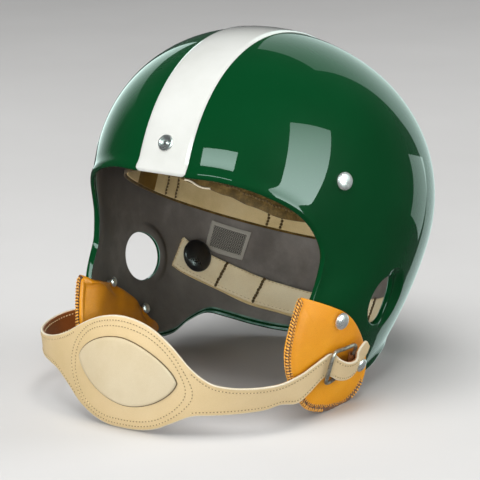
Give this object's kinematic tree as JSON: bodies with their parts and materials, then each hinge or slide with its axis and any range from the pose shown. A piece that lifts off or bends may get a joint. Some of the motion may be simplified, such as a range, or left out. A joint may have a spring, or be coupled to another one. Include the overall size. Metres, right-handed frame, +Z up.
{
  "type": "football helmet",
  "caption": "Open-faced football helmet: green moulded shell, white centre stripe, leather jaw pads, hung sweatband and a buckled leather chin strap with a cup.",
  "frame": {"origin": "middle of the bottom of the helmet's box, on the surface that it rests on", "axes": "+Z up as the helmet rests, the face opening towards -Y, the wearer's left towards +X"},
  "size_m": [0.2172, 0.2942, 0.2385],
  "materials": {
    "shell": "high gloss dark green outside, matt warm grey paint inside",
    "stripe": "glossy white tape",
    "metal": "worn bright nickel plating",
    "pad_leather": "smooth tan leather, lightly waxed",
    "strap_leather": "cream leather with stitching",
    "sweatband_leather": "matt tan leather",
    "lining": "brown suede",
    "webbing": "woven cotton",
    "button": "polished black",
    "label": "grey weave with no words"
  },
  "bodies": {
    "root": {"shell": "shell", "stripe": "stripe", "front_screw": "metal", "side_rivet_left": "metal", "side_rivet_right": "metal", "jaw_pad_left": "pad_leather", "jaw_pad_right": "pad_leather", "pad_rivet_left": "metal", "pad_rivet_right": "metal", "strap_stud_left": "metal", "strap_stud_right": "metal", "pad_snap_upper_left": "metal", "pad_snap_upper_right": "metal", "pad_snap_lower_left": "metal", "pad_snap_lower_right": "metal", "nape_button_left": "button", "nape_button_right": "button", "sweatband": "sweatband_leather", "sweatband_backing": "lining", "hanging_tab_front": "webbing", "hanging_tab_left": "webbing", "hanging_tab_right": "webbing", "hanging_tab_rear_left": "webbing", "hanging_tab_rear_right": "webbing", "nape_band": "strap_leather", "label_plate": "label", "chin_strap": "strap_leather", "strap_lining": "lining", "cup_panel": "strap_leather", "buckle_frame": "metal", "buckle_keeper": "lining"}
  },
  "joints": []
}
